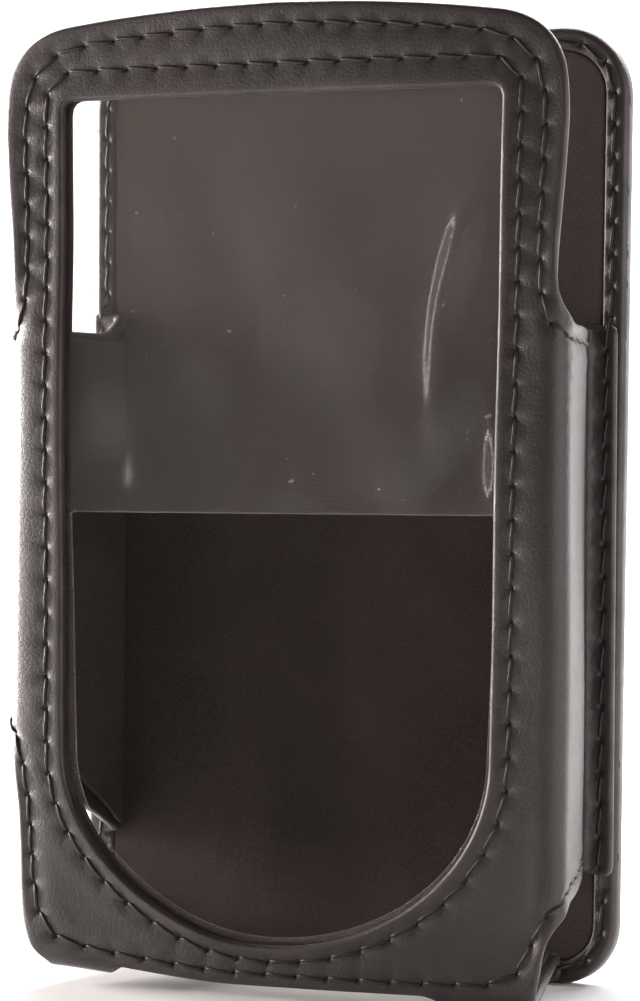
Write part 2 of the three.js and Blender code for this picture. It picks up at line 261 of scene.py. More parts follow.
def swell(across, up):
    """How soft leather stands away from its plain folded shape, in millimetres."""
    beyond = np.abs(across) - FOLD_START
    wall = 0.6 * np.sin(np.pi * np.clip((beyond - 2) / 26, 0, 1))
    wall *= 1 + 0.35 * np.sin(up / 9 + across / 14)
    right_rounding = -0.55 * smoothstep(20, 35.5, across) * (1 - smoothstep(-1.5, 3.5, beyond))
    rounding = np.where(across < 0, -0.7 * smoothstep(29.5, 38, -across), right_rounding)
    rounding = rounding * (1 - smoothstep(WALL_TOP, WALL_TOP + 14, up))
    face = 0.30 * np.sin(up / 17.0 + 0.8) * np.cos(across / 13.0) + 0.16 * np.sin(up / 6.3 + across / 8.1)
    head = -0.8 * smoothstep(WALL_TOP, WALL_TOP + 14, up) * (np.abs(across) / HEAD_HALF) ** 4
    flat = 1 - smoothstep(22, 27, beyond)
    level = smoothstep(-3, 8, up)
    return flat * level * (wall + rounding + face * (1 - smoothstep(-2, 5, beyond)) + head)


def creases(across, up):
    """Small folds that run out from the corner where the right wall meets the head."""
    reach_x, reach_z = across - 37, up - 80
    middle = np.exp(-(reach_x / 5.5) ** 2 - (reach_z / 7) ** 2)
    left = np.exp(-((across + 37) / 4.5) ** 2 - ((up - 78) / 6) ** 2)
    waves = np.sin(2.1 * reach_z + 0.9 * reach_x + 1.4 * np.sin(0.5 * reach_x))
    return 0.20 * waves * (middle + 0.6 * left)


def on_wrap(points, height):
    """Places pattern points on the case, at a height over the leather's outer face."""
    across, up = points[:, 0], points[:, 1]
    side = np.where(across < 0, -1.0, 1.0)
    foot = np.where(across < 0, WALL_FOOT[-1], WALL_FOOT[1])
    amount = smoothstep(foot - 9, foot - 2, up) * (1 - smoothstep(WALL_TOP + 0.3, WALL_TOP + 9, up))
    amount = np.where(np.abs(across) > 41, 1.0, amount)
    out, depth, turn = folded_run(np.abs(across) - FOLD_START, WALL_LEAN, amount)
    down, strap_depth, strap_turn = folded_run(FOLD_RADIUS - up, STRAP_LEAN)
    normal = np.column_stack([side * np.sin(turn), -np.cos(turn) * np.cos(strap_turn), -np.sin(strap_turn)])
    normal /= np.linalg.norm(normal, axis=1)[:, None]
    base = np.column_stack([side * (FOLD_START + out), FRONT_Y + depth + strap_depth, FOLD_RADIUS - down])
    base[:, 2] += CORNER_LIFT * smoothstep(4, 34, -across) * (1 - smoothstep(-4, 30, up))
    lift = height + swell(across, up) + creases(across, up)
    return base + normal * lift[:, None], normal


def on_panel_back(points, height):
    """Places points on the back panel's outer face."""
    swollen = height + 0.12 * np.sin(points[:, 0] / 11) * np.sin(points[:, 1] / 16)
    place = np.column_stack([points[:, 0], PANEL_HIGH[1] + swollen, points[:, 1]])
    return place, np.tile((0.0, 1.0, 0.0), (len(points), 1))


def on_panel_front(points, height):
    """Places points over the rim, and over the flanges where they lie on it."""
    across, up = np.abs(points[:, 0]), points[:, 1]
    foot = np.where(points[:, 0] < 0, FLANGE_FOOT[-1], FLANGE_FOOT[1]) - 1.2
    top = np.where(points[:, 0] < 0, FLANGE_TOP[-1], FLANGE_TOP[1])
    wall = smoothstep(foot - 1.2, foot, up) * (1 - smoothstep(top + 0.4, top + 1.6, up))
    strap = 1 - smoothstep(STRAP_Z + 1, STRAP_Z + 3, up)
    strap *= smoothstep(STRAP_INNER - 1.2, STRAP_INNER, across)
    strap *= 1 - smoothstep(STRAP_BACK, STRAP_BACK + 1.2, across)
    depth = RIM - (RIM - FLANGE) * np.maximum(wall, strap)
    place = np.column_stack([points[:, 0], FRONT_Y + depth - height, up])
    return place, np.tile((0.0, -1.0, 0.0), (len(points), 1))


# ---- Meshes ----


def nearest(points, others):
    """The distance from each point to the nearest of the others."""
    tree = kdtree.KDTree(len(others))
    for i, (x, z) in enumerate(others):
        tree.insert((x, z, 0), i)
    tree.balance()
    return np.array([tree.find((x, z, 0))[2] for x, z in points])


def inside(points, loops):
    """Whether each point is inside the loops, by counting crossings."""
    result = np.zeros(len(points), bool)
    for loop in loops:
        start, end = loop, np.roll(loop, -1, 0)
        for (x0, z0), (x1, z1) in zip(start, end):
            if z0 == z1:
                continue
            crosses = (z0 > points[:, 1]) != (z1 > points[:, 1])
            result ^= crosses & (points[:, 0] < (x1 - x0) * (points[:, 1] - z0) / (z1 - z0) + x0)
    return result


class Pattern:
    """A flat cut piece: triangles with rows of points along its edges, seams and stitch holes."""

    EDGE_ROWS = (0.07, 0.2, 0.38, 0.62)

    def __init__(self, outline, hole=None, punches=(), spacing=1.5, rows=(), edge_step=0.8):
        loops = [resample(outline, edge_step)]
        if hole is not None:
            loops.append(resample(hole, edge_step)[::-1])
        fine = np.vstack([resample(loop, 0.25) for loop in loops])
        self.punches = np.vstack(punches) if len(punches) else np.empty((0, 2))
        kept = [np.vstack(loops)]
        known = [np.zeros(len(kept[0]))]

        def keep(candidates, room, distance=None):
            """Adds the candidates that have room round them."""
            candidates = candidates[inside(candidates, loops)]
            free = nearest(candidates, np.vstack(kept)) > room
            candidates = candidates[free]
            far = nearest(candidates, fine) if distance is None else np.full(len(candidates), distance)
            if distance is not None:
                right = nearest(candidates, fine) > 0.9 * distance
                candidates, far = candidates[right], far[right]
            kept.append(candidates)
            known.append(far)

        for row in self.EDGE_ROWS:
            keep(np.vstack([inset(loop, row) for loop in loops]), 0.05, row)
        for row in rows:
            keep(np.vstack([inset(loop, row) for loop in loops]), 0.15, row)
        if len(self.punches):
            keep(self.punches, 0.15)
            ring = np.radians(np.arange(0, 360, 60))
            for radius in (0.3, 0.75):
                around = radius * np.column_stack([np.cos(ring), np.sin(ring)])
                keep((self.punches[:, None, :] + around[None]).reshape(-1, 2), 0.2)
        low, high = loops[0].min(0), loops[0].max(0)
        across = np.arange(low[0], high[0], spacing)
        up = np.arange(low[1], high[1], spacing * 0.866)
        grid = np.array([(x + (j % 2) * spacing / 2, z) for j, z in enumerate(up) for x in across])
        keep(grid, 0.62 * spacing)

        points = np.vstack(kept)
        edges, first = [], 0
        for loop in loops:
            count = len(loop)
            edges += [(first + i, first + (i + 1) % count) for i in range(count)]
            first += count
        border = first
        verts, _edges, faces, origins, *_ = geometry.delaunay_2d_cdt(
            [Vector(point) for point in points], edges, [], 0, 1e-5, True)
        source = np.array([ids[0] if ids else -1 for ids in origins])
        faces = np.array(faces)
        self.points = np.array([tuple(v) for v in verts])
        doubtful = np.all(source[faces] < border, axis=1)
        good = ~doubtful
        middles = self.points[faces[doubtful]].mean(1)
        good[doubtful] = inside(middles, loops)
        self.faces = faces[good]
        self.edge = np.concatenate(known)[source]
        self.hole = np.full(len(self.points), 99.0)
        if len(self.punches):
            self.hole = nearest(self.points, self.punches)

    def seam(self, rows):
        """Distance of every point to the nearest seam line."""
        return nearest(self.points, np.vstack([resample(row, 0.3, False) for row in rows]))


def new_object(name, verts, faces, attributes=None):
    """A mesh object from points in millimetres."""
    mesh = bpy.data.meshes.new(name)
    mesh.from_pydata((np.asarray(verts) * MM).tolist(), [], [tuple(map(int, f)) for f in faces])
    for key, values in (attributes or {}).items():
        layer = mesh.attributes.new(key, "FLOAT", "POINT")
        layer.data.foreach_set("value", np.asarray(values, np.float32))
    shell = bmesh.new()
    shell.from_mesh(mesh)
    bmesh.ops.recalc_face_normals(shell, faces=shell.faces)
    shell.to_mesh(mesh)
    shell.free()
    mesh.shade_smooth()
    made = bpy.data.objects.new(name, mesh)
    bpy.context.scene.collection.objects.link(made)
    return made


def roll(distance, radius):
    """How far a rounded edge falls away at a distance from the border."""
    part = np.clip(radius - distance, 0, radius)
    return radius - np.sqrt(np.maximum(radius ** 2 - part ** 2, 0))


def sheet(name, pattern, place, thickness, over=None, under=None, radius=0.5, attributes=None):
    """A solid sheet: its outer face, its inner face and a rounded border between them."""
    count = len(pattern.points)
    top = -roll(pattern.edge, radius)
    bottom = -thickness + roll(pattern.edge, radius)
    top = top + (over if over is not None else 0)
    bottom = bottom + (under if under is not None else 0)
    outer, _normal = place(pattern.points, top)
    inner, _normal = place(pattern.points, bottom)
    faces = [tuple(f) for f in pattern.faces]
    faces += [tuple(f[::-1] + count) for f in pattern.faces]
    seen = {}
    for f in pattern.faces:
        for a, b in ((f[0], f[1]), (f[1], f[2]), (f[2], f[0])):
            seen[(a, b)] = True
    border = [(a, b) for a, b in seen if (b, a) not in seen]
    faces += [(b, a, a + count, b + count) for a, b in border]
    extra = {"edge": np.tile(pattern.edge, 2), "hole": np.tile(pattern.hole, 2)}
    extra.update({key: np.tile(values, 2) for key, values in (attributes or {}).items()})
    return new_object(name, np.vstack([outer, inner]), faces, extra)


def dimples(pattern, rows, depth=0.20):
    """The groove that a seam pulls into leather, with a pit at each stitch hole."""
    line = pattern.seam(rows)
    groove = -depth * np.exp(-(line / 0.75) ** 2) + 0.10 * np.exp(-((line - 1.7) / 0.8) ** 2)
    pits = -0.5 * np.exp(-(pattern.hole / 0.26) ** 2)
    return groove + pits


def stitches(name, row, place, radius, closed, slant=0.14, sunk=0.16):
    """A row of twisted thread stitches, each from one hole to the next."""
    starts = row if closed else row[:-1]
    ends = np.roll(row, -1, 0) if closed else row[1:]
    samples, sides = 9, 9
    part = np.linspace(0.03, 0.97, samples)
    run = ends - starts
    aside = np.column_stack([-run[:, 1], run[:, 0]]) / np.linalg.norm(run, axis=1)[:, None]
    flat = starts[:, None] + run[:, None] * part[None, :, None]
    flat = flat + aside[:, None] * (slant * np.cos(np.pi * part))[None, :, None]
    rise = -sunk + radius * 0.75 - 0.75 * np.abs(2 * part - 1) ** 5
    height = np.tile(rise, len(starts))
    centre, normal = place(flat.reshape(-1, 2), height)
    centre = centre.reshape(-1, samples, 3)
    normal = normal.reshape(-1, samples, 3)
    along = np.gradient(centre, axis=1)
    along /= np.linalg.norm(along, axis=2)[..., None]
    side = np.cross(along, normal)
    side /= np.linalg.norm(side, axis=2)[..., None]
    up = np.cross(side, along)
    angle = np.linspace(0, 2 * np.pi, sides, endpoint=False)
    twist = 2.2 * np.pi * part
    lobed = radius * (1 + 0.16 * np.cos(3 * (angle[None] - twist[:, None] / 1.5)))
    lobed = lobed * (1 - 0.35 * np.abs(2 * part - 1) ** 6)[:, None]
    ring = (lobed * np.cos(angle))[None, ..., None] * up[:, :, None]
    ring = ring + (lobed * np.sin(angle))[None, ..., None] * side[:, :, None]
    verts = (centre[:, :, None] + ring).reshape(-1, 3)
    faces = []
    for stitch in range(len(starts)):
        first = stitch * samples * sides
        for i in range(samples - 1):
            for j in range(sides):
                a = first + i * sides + j
                b = first + i * sides + (j + 1) % sides
                faces.append((a, b, b + sides, a + sides))
        faces.append(tuple(range(first, first + sides))[::-1])
        last = first + (samples - 1) * sides
        faces.append(tuple(range(last, last + sides)))
    return new_object(name, verts, faces)


# ---- Seam lines of the wrap, as rows of stitch holes ----


def wrap_outline():
    """The wrap's cut edge, counter-clockwise from the bottom middle."""
    halves = {}
    for side in (1, -1):
        foot, low, high = WALL_FOOT[side], FLANGE_FOOT[side], FLANGE_TOP[side]
        outer = STRAP_OUTER[side]
        end = STRAP_FOOT - (STRAP_Z - 0.5)
        flange_end = FLANGE_ACROSS + panel_half(45) - 0.35 - FLANGE_X
        strap = np.vstack([
            [(0, LIP), (STRAP_INNER - 2.4, LIP)],
            arc((STRAP_INNER - 2.4, LIP - 2.4), (2.4, 2.4), 90, 0, 6),
            [(STRAP_INNER, end + 0.6), (STRAP_INNER + 0.6, end)],
            [(STRAP_BACK - 0.6, end), (STRAP_BACK, end + 0.6), (STRAP_BACK, STRAP_FOOT), (outer, 0.3)],
        ])
        if side > 0:
            edge = curve((outer, 0.3), (35.3, 4.2), (36.1, 7.4), (38.2, 10.6), (42.0, foot - 0.2),
                         (50, foot + 0.6), (FLANGE_ACROSS - 1, low + 0.5))
        else:
            edge = curve((outer, 0.3), (33.4, 2.7), (34.6, 5.9), (35.1, 10), (35.4, 18), (36.0, 25.0),
                         (37.6, 29.6), (40.2, foot - 0.6), (43.0, foot - 2), (47.6, foot - 5.7),
                         (54, foot - 10.6), (FLANGE_ACROSS - 1, low + 0.5))
        flange = np.array([
            (FLANGE_ACROSS - 1, low + 0.5), (FLANGE_ACROSS, low), (flange_end - 0.8, low - 0.4),
            (flange_end, low + 0.4), (flange_end, high - 0.4), (flange_end - 0.8, high + 0.2),
            (FLANGE_ACROSS - 0.5, high), (FLANGE_ACROSS - 1.6, 0.6 * high + 0.4 * WALL_TOP),
            (FLANGE_ACROSS - 3.4, 0.2 * high + 0.8 * WALL_TOP), (FLANGE_ACROSS - 6, WALL_TOP),
        ])
        head = curve((50, WALL_TOP), (43.5, WALL_TOP + 0.05), (39.9, WALL_TOP + 0.9),
                     (37.9, WALL_TOP + 3.0), (37.1, WALL_TOP + 7.0), (37.3, 97), (37.9, 104.5),
                     (HEAD_HALF, 112), (37.4, 117.6), (35.2, 121.0), (31.8, 123.0), (26.0, 124.0),
                     (13, 125.1), (0, HEAD_TOP))
        halves[side] = np.vstack([strap, edge, flange, head])
    left = halves[-1][::-1] * (-1, 1)
    return np.vstack([halves[1], [(0, HEAD_TOP)], left[:-1]])


def head_row(step):
    """From one wall's back, along its top edge, over the fold and round the head."""
    half = curve((61, WALL_TOP - 2.1), (50, WALL_TOP - 2.1), (42, WALL_TOP - 2.1), (38.6, WALL_TOP - 1.7),
                 (35.9, WALL_TOP + 0.4), (35.0, WALL_TOP + 4.3), (34.9, 97), (35.2, 106), (35.3, 112),
                 (34.4, 116.6), (32.0, 119.4), (28.5, 120.8), (20, 121.8), (10, 122.5), (0, 122.8))
    whole = np.vstack([half, [(0, 122.8)], half[::-1] * (-1, 1)])
    return resample(whole, step, False)


def foot_row(step):
    """From the left wall's back, along its lower edge, the front's foot and up the right wall's."""
    left = curve((61, 20.4), (55, 24.3), (48.4, 29.6), (43.4, 33.2), (39.9, 34.3), (36.9, 32.6),
                 (34.9, 28.4), (33.8, 20), (33.2, 12), (32.1, 7.2), (29.6, 4.4), (25, 3.5), (14, 3.2),
                 (0, 3.0)) * (-1, 1)
    right = curve((61, 17.3), (50, 15.6), (42, 14.9), (37.6, 13.0), (34.8, 9.6), (33.6, 6.6),
                  (31.3, 3.9), (26, 3.2), (14, 3.0), (0, 3.0))
    return resample(np.vstack([left, [(0, 3.0)], right[::-1]]), step, False)


def window_row(step):
    return resample(window_outline(2.5, WINDOW_TOP + 1.3, 2.0), step)


def panel_row(step):
    return resample(panel_outline(PANEL_SEAM), step)


def flange_punches(row):
    """The panel seam's holes that go through the wrap's flanges, as places in its pattern."""
    side = np.sign(row[:, 0])
    across = np.abs(row[:, 0])
    foot = np.where(side < 0, FLANGE_FOOT[-1], FLANGE_FOOT[1])
    on_wall = (row[:, 1] > foot - 0.5) & (row[:, 1] < WALL_TOP + 2) & (across > FLANGE_X)
    wall = np.column_stack([side * (FLANGE_ACROSS + across - FLANGE_X), row[:, 1]])[on_wall]
    on_strap = (row[:, 1] < STRAP_Z) & (across > STRAP_INNER + 0.7) & (across < STRAP_BACK - 0.7)
    strap = np.column_stack([row[:, 0], STRAP_FOOT - (STRAP_Z - row[:, 1])])[on_strap]
    return np.vstack([wall, strap])


# ---- Shader maths ----


class Socket:
    """A shader value: sums in Python add Math nodes."""

    def __init__(self, shader, socket):
        self.shader, self.socket = shader, socket

    def math(self, operation, first, second):
        return self.shader.node("ShaderNodeMath", {"operation": operation}, {0: first, 1: second})

    def __add__(self, other):
        return self.math("ADD", self, other)

    def __radd__(self, other):
        return self.math("ADD", other, self)

    def __sub__(self, other):
        return self.math("SUBTRACT", self, other)

    def __rsub__(self, other):
        return self.math("SUBTRACT", other, self)

    def __mul__(self, other):
        return self.math("MULTIPLY", self, other)

    def __rmul__(self, other):
        return self.math("MULTIPLY", other, self)

    def __truediv__(self, other):
        return self.math("DIVIDE", self, other)

    def __pow__(self, other):
        return self.math("POWER", self, other)


class Shader:
    """One material and the nodes in it."""

    def __init__(self, name):
        self.material = bpy.data.materials.new(f"{name}_finish")
        self.material.use_nodes = True
        self.tree = self.material.node_tree
        self.tree.nodes.clear()

    def node(self, kind, settings=None, inputs=None, output=0):
        """Adds a node: its settings first, then its sockets' values or links. Returns one output."""
        made = self.tree.nodes.new(kind)
        for key, value in (settings or {}).items():
            setattr(made, key, value)
        for key, value in (inputs or {}).items():
            if isinstance(value, Socket):
                self.tree.links.new(value.socket, made.inputs[key])
            else:
                made.inputs[key].default_value = value
        return Socket(self, made.outputs[output])

    def place(self):
        """Where the surface is, on the object."""
        return self.node("ShaderNodeTexCoord", output="Object")

    def stretched(self, scale):
        """The same, with its axes scaled."""
        return self.node("ShaderNodeMapping", {}, {"Vector": self.place(), "Scale": scale})

    def noise(self, size_mm, detail=3.0, rough=0.5, vector=None):
        return self.node("ShaderNodeTexNoise", {}, {
            "Vector": vector or self.place(), "Scale": 1 / (size_mm * MM), "Detail": detail,
            "Roughness": rough})

    def cells(self, size_mm):
        """Distance to the edge of irregular cells."""
        return self.node("ShaderNodeTexVoronoi", {"feature": "DISTANCE_TO_EDGE"}, {
            "Vector": self.place(), "Scale": 1 / (size_mm * MM)}, "Distance")

    def attribute(self, name):
        return self.node("ShaderNodeAttribute", {"attribute_name": name}, output="Fac")

    def fade(self, value, low, high):
        """0 at low, 1 at high, smooth between."""
        return self.node("ShaderNodeMapRange", {"interpolation_type": "SMOOTHSTEP"}, {
            "Value": value, "From Min": low, "From Max": high})

    def blend(self, factor, first, second):
        """Two colours, mixed."""
        return self.node("ShaderNodeMix", {"data_type": "RGBA"}, {
            "Factor": factor, 6: self.colour(first), 7: self.colour(second)}, 2)

    @staticmethod
    def colour(value):
        return value if isinstance(value, Socket) else (*value[:3], 1.0)

    def bump(self, height, depth_mm, strength):
        return self.node("ShaderNodeBump", {}, {
            "Height": height, "Distance": depth_mm * MM, "Strength": strength})

    def surface(self, inputs):
        return self.node("ShaderNodeBsdfPrincipled", {}, inputs)

    def finish(self, shader):
        end = self.tree.nodes.new("ShaderNodeOutputMaterial")
        self.tree.links.new(shader.socket, end.inputs["Surface"])
        return self.material


def scaled(colour, share):
    """A colour made darker or lighter."""
    return tuple(part * share for part in colour)


def leather_material(settings):
    """Smooth semi-gloss nappa: fine grain, pores, faint pull marks and burnished edges, with painted shade
    in and round each stitch hole.
    """
    hide = Shader("nappa_leather")
    base = tuple(settings.leather_colour)
    worn = tuple(min(1.0, part * 1.9 + 0.012) for part in base)
    cloud = hide.noise(22, 4, 0.55)
    mottle = hide.noise(3.5, 3, 0.6)
    rub = (1 - hide.fade(hide.attribute("edge"), 0.15, 1.5)) * hide.fade(hide.noise(6, 2), 0.35, 0.7)
    tone = hide.blend(hide.fade(cloud, 0.3, 0.7), scaled(base, 0.62), base)
    tone = hide.blend(hide.fade(mottle, 0.4, 0.9) * 0.16, tone, worn)
    tone = hide.blend(rub * 0.55, tone, worn)
    # Painted shade: the leather's colour is darkened in and round each stitch hole, where shade falls.
    pit = 1 - hide.fade(hide.attribute("hole"), 0.12, 0.42)
    tone = hide.blend(pit * 0.6, tone, scaled(base, 0.3))
    grain = hide.fade(hide.cells(settings.grain_size / MM), 0.0, 0.16)
    fine = hide.noise(0.22, 4, 0.65)
    pull = hide.noise(1.0, 2, 0.5, hide.stretched((0.25, 0.25, 1.4)))
    height = grain * 0.55 + fine * 0.35 + pull * 0.6 + mottle * 0.8
    gloss = 0.50 + (cloud - 0.5) * 0.22 + (fine - 0.5) * 0.18 - rub * 0.10
    return hide.finish(hide.surface({
        "Base Color": tone, "Roughness": gloss, "Normal": hide.bump(height, 0.05, 0.65),
        "Specular IOR Level": 0.5, "Coat Weight": 0.16 + (mottle - 0.5) * 0.2, "Coat Roughness": 0.3,
        "Sheen Weight": 0.06, "Sheen Roughness": 0.5}))


def flock_material(settings):
    """Short-pile flocked lining, nearly black, with a little lint."""
    flock = Shader("flocked_lining")
    base = tuple(settings.lining_colour)
    pile = flock.noise(0.35, 3, 0.7)
    brushed = flock.noise(7, 3, 0.55)
    lint = flock.fade(flock.noise(0.9, 1, 0.4), 0.77, 0.83)
    tone = flock.blend(flock.fade(brushed, 0.3, 0.75), scaled(base, 0.86), scaled(base, 1.12))
    tone = flock.blend(flock.fade(pile, 0.3, 0.75) * 0.6, tone, scaled(base, 2.0))
    tone = flock.blend(lint * 0.35, tone, (0.11, 0.095, 0.085))
    return flock.finish(flock.surface({
        "Base Color": tone, "Roughness": 0.92 + (pile - 0.5) * 0.1,
        "Normal": flock.bump(pile + brushed * 0.4, 0.14, 0.7),
        "Specular IOR Level": 0.1, "Sheen Weight": 0.03, "Sheen Roughness": 0.6}))


def thread_material(settings):
    """Bonded thread: dark, twisted, with a slight shine."""
    thread = Shader("sewing_thread")
    base = tuple(settings.thread_colour)
    fibre = thread.noise(0.12, 2, 0.5)
    return thread.finish(thread.surface({
        "Base Color": thread.blend(fibre, scaled(base, 0.7), scaled(base, 1.5)),
        "Roughness": 0.48 + (fibre - 0.5) * 0.2, "Normal": thread.bump(fibre, 0.02, 0.4),
        "Specular IOR Level": 0.35, "Sheen Weight": 0.05}))


def board_material(_settings):
    """Pressed fibre board."""
    board = Shader("fibre_board")
    fleck = board.noise(0.6, 4, 0.7)
    tone = board.blend(board.fade(fleck, 0.35, 0.7), (0.13, 0.10, 0.07), (0.25, 0.19, 0.13))
    return board.finish(board.surface({
        "Base Color": tone, "Roughness": 0.85 + (fleck - 0.5) * 0.1,
        "Normal": board.bump(fleck, 0.05, 0.5)}))


def film_material(settings):
    """Clear soft vinyl: mostly see-through, glossy, with an even haze, faint scuffs and dust, and a painted
    highlight along its cut edge.
    """
    film = Shader("clear_film")
    scuff = film.fade(film.noise(2.2, 5, 0.75, film.stretched((1.0, 1.0, 0.35))), 0.52, 0.78)
    dust = film.fade(film.noise(0.9, 0, 0.4), 0.845, 0.87)
    clear = film.node("ShaderNodeBsdfTransparent", {}, {"Color": (0.97, 0.965, 0.96, 1)})
    gloss = film.surface({
        "Base Color": (0.46, 0.42, 0.40, 1), "Roughness": 0.10 + scuff * 0.22,
        "Normal": film.bump(film.noise(11, 1, 0.4), 0.5, 0.3),
        "Specular IOR Level": 1.0, "Coat Weight": 1.0, "Coat Roughness": 0.06})
    facing = film.node("ShaderNodeFresnel", {}, {"IOR": 1.5})
    # Painted highlight: along the film's cut edge more of the pale glossy layer is mixed in, a glint
    # painted where the edge catches light.
    cut = film.attribute("painted_cut_edge_glint")
    share = settings.film_haze + scuff * 0.03 + dust * 0.35 + cut * 0.12 + facing * 0.7
    return film.finish(film.node("ShaderNodeMixShader", {}, {0: share, 1: clear, 2: gloss}))


def floor_material():
    """Plain pale paper."""
    floor = Shader("studio_floor")
    return floor.finish(floor.surface({
        "Base Color": (0.93, 0.93, 0.93, 1), "Roughness": 0.9, "Specular IOR Level": 0.1}))


FINISHES = {
    "nappa_leather": leather_material,
    "flocked_lining": flock_material,
    "sewing_thread": thread_material,
    "fibre_board": board_material,
    "clear_film": film_material,
}


def finish(slot):
    """A slot's material, made the first time it is asked for."""
    return bpy.data.materials.get(f"{slot}_finish") or FINISHES[slot](bpy.context.scene.carrying_case)


def dress(piece, slot, node):
    """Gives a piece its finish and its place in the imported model."""
    piece.data.materials.clear()
    piece.data.materials.append(finish(slot))
    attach(piece, "root")
    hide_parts(node)


# ---- Settings ----


class CarryingCaseSettings(bpy.types.PropertyGroup):
    """Sizes and colours of the carrying case."""

    leather_colour: bpy.props.FloatVectorProperty(
        name="Leather Colour", description="Colour of the nappa leather", subtype="COLOR", size=3,
        min=0, max=1, default=(0.025, 0.0168, 0.0147))
    lining_colour: bpy.props.FloatVectorProperty(
        name="Lining Colour", description="Colour of the flocked lining", subtype="COLOR", size=3,
        min=0, max=1, default=(0.042, 0.033, 0.0305))
    thread_colour: bpy.props.FloatVectorProperty(
        name="Thread Colour", description="Colour of the sewing thread", subtype="COLOR", size=3,
        min=0, max=1, default=(0.020, 0.015, 0.014))
    grain_size: bpy.props.FloatProperty(
        name="Grain Size", description="Width of one leather grain cell", unit="LENGTH",
        min=0.2 * MM, max=3 * MM, default=0.7 * MM)
    stitch_length: bpy.props.FloatProperty(
        name="Stitch Length", description="Distance between stitch holes", unit="LENGTH",
        min=2 * MM, max=8 * MM, default=4.2 * MM)
    thread_radius: bpy.props.FloatProperty(
        name="Thread Radius", description="Half the thread's width", unit="LENGTH",
        min=0.1 * MM, max=0.6 * MM, default=0.21 * MM)
    film_haze: bpy.props.FloatProperty(
        name="Film Haze", description="Share of light that the film returns instead of letting through",
        subtype="FACTOR", min=0, max=1, default=0.05)


# ---- Pieces ----


class CASE_OT_wrap(bpy.types.Operator):
    """Make the front leather with its walls, flanges and straps"""

    bl_idname = "carrying_case.wrap"
    bl_label = "Front Leather"

    def execute(self, context):
        settings = context.scene.carrying_case
        step = settings.stitch_length / MM
        window = window_row(step)
        rows = [head_row(step), foot_row(step)]
        flanges = flange_punches(panel_row(step))
        punches = [*rows, window, flanges]
        pattern = Pattern(wrap_outline(), window_outline(), punches, spacing=1.5, rows=(1.2,))
        relief = dimples(pattern, [*rows, looped(window)])
        piece = sheet("front_leather_wrap", pattern, on_wrap, WRAP, over=relief, radius=0.55)
        dress(piece, "nappa_leather", "front_leather")
        return {"FINISHED"}


def inner_outline(margin):
    """The outline of the front's inner layers: the wrap's own, drawn in from its edge and its folds."""
    half = curve((0, LIP + 0.8), (22, LIP + 0.9), (30.5, 4.6), (33.6, 10), (34.2, 40), (34.2, 82),
                 (36.0, 91), (36.4, 97), (37.0, 104.5), (HEAD_HALF - 0.9, 112), (36.4, 117.4),
                 (34.5, 120.2), (31.3, 122.0), (26.0, 123.1), (13, 124.2), (0, HEAD_TOP - 0.9))
    outline = np.vstack([half, [(0, HEAD_TOP - 0.9)], half[:0:-1] * (-1, 1)])
    return inset(resample(outline, 1.0), margin) if margin else outline


class CASE_OT_stiffener(bpy.types.Operator):
    """Make the stiffener between the front's leather and its lining"""

    bl_idname = "carrying_case.stiffener"
    bl_label = "Front Stiffener"

    def execute(self, context):
        pattern = Pattern(inner_outline(2.2), window_outline(0.9), spacing=2.5)
        level = np.full(len(pattern.points), -WRAP - 0.15)
        piece = sheet("front_stiffener_board", pattern, on_wrap, BOARD, over=level, under=level, radius=0.1)
        dress(piece, "fibre_board", "front_stiffener")
        return {"FINISHED"}


class CASE_OT_linings(bpy.types.Operator):
    """Make the linings of the front, the walls and the straps"""

    bl_idname = "carrying_case.linings"
    bl_label = "Linings"

    def execute(self, context):
        pattern = Pattern(inner_outline(0), window_outline(0.35), spacing=2.0)
        face = FRONT_Y - LINING_LOW[1]
        pinch = (1 - smoothstep(0.2, 5, pattern.edge)) * smoothstep(82, 92, pattern.points[:, 1])
        outer = np.abs(pattern.points[:, 0]) > WINDOW_HALF + 4
        outer |= pattern.points[:, 1] > WINDOW_TOP + 5
        lift = face + pinch * outer * (-face - WRAP)
        thickness = LINING_HIGH[1] - LINING_LOW[1]
        piece = sheet("front_flock_lining", pattern, on_wrap, thickness, over=lift, under=lift, radius=0.3)
        dress(piece, "flocked_lining", "front_lining")

        for side, name in ((1, "right"), (-1, "left")):
            foot, low = WALL_FOOT[side] + 1.2, FLANGE_FOOT[side] + 1.4
            back = FLANGE_ACROSS - 1.2
            edges = [(38.9, foot + 1), (back, low), (back, WALL_TOP - 0.9), (38.9, WALL_TOP - 1.2)]
            if side < 0:
                edges[1:1] = [(43.5, foot - 1.0), (49, foot - 5.2), (55, foot - 10)]
            pattern = Pattern(resample(np.array(edges), 1.0), spacing=2.5)
            pattern.points *= (side, 1)
            level = np.full(len(pattern.points), -WRAP - PLY_GAP)
            piece = sheet(f"{name}_wall_flock", pattern, on_wrap, WALL_FLOCK, over=level, under=level,
                          radius=0.25)
            dress(piece, "flocked_lining", f"{name}_wall_lining")

            edges = [(STRAP_INNER + 0.8, STRAP_FOOT + 1.2), (STRAP_BACK - 0.8, STRAP_FOOT + 1.2),
                     (STRAP_OUTER[side] - 1.6, -0.6), (STRAP_INNER + 0.8, -0.6)]
            pattern = Pattern(resample(np.array(edges), 1.0), spacing=2.5)
            pattern.points *= (side, 1)
            level = np.full(len(pattern.points), -WRAP - PLY_GAP)
            piece = sheet(f"{name}_strap_flock", pattern, on_wrap, STRAP_FLOCK, over=level, under=level,
                          radius=0.25)
            dress(piece, "flocked_lining", f"{name}_strap_lining")
        return {"FINISHED"}


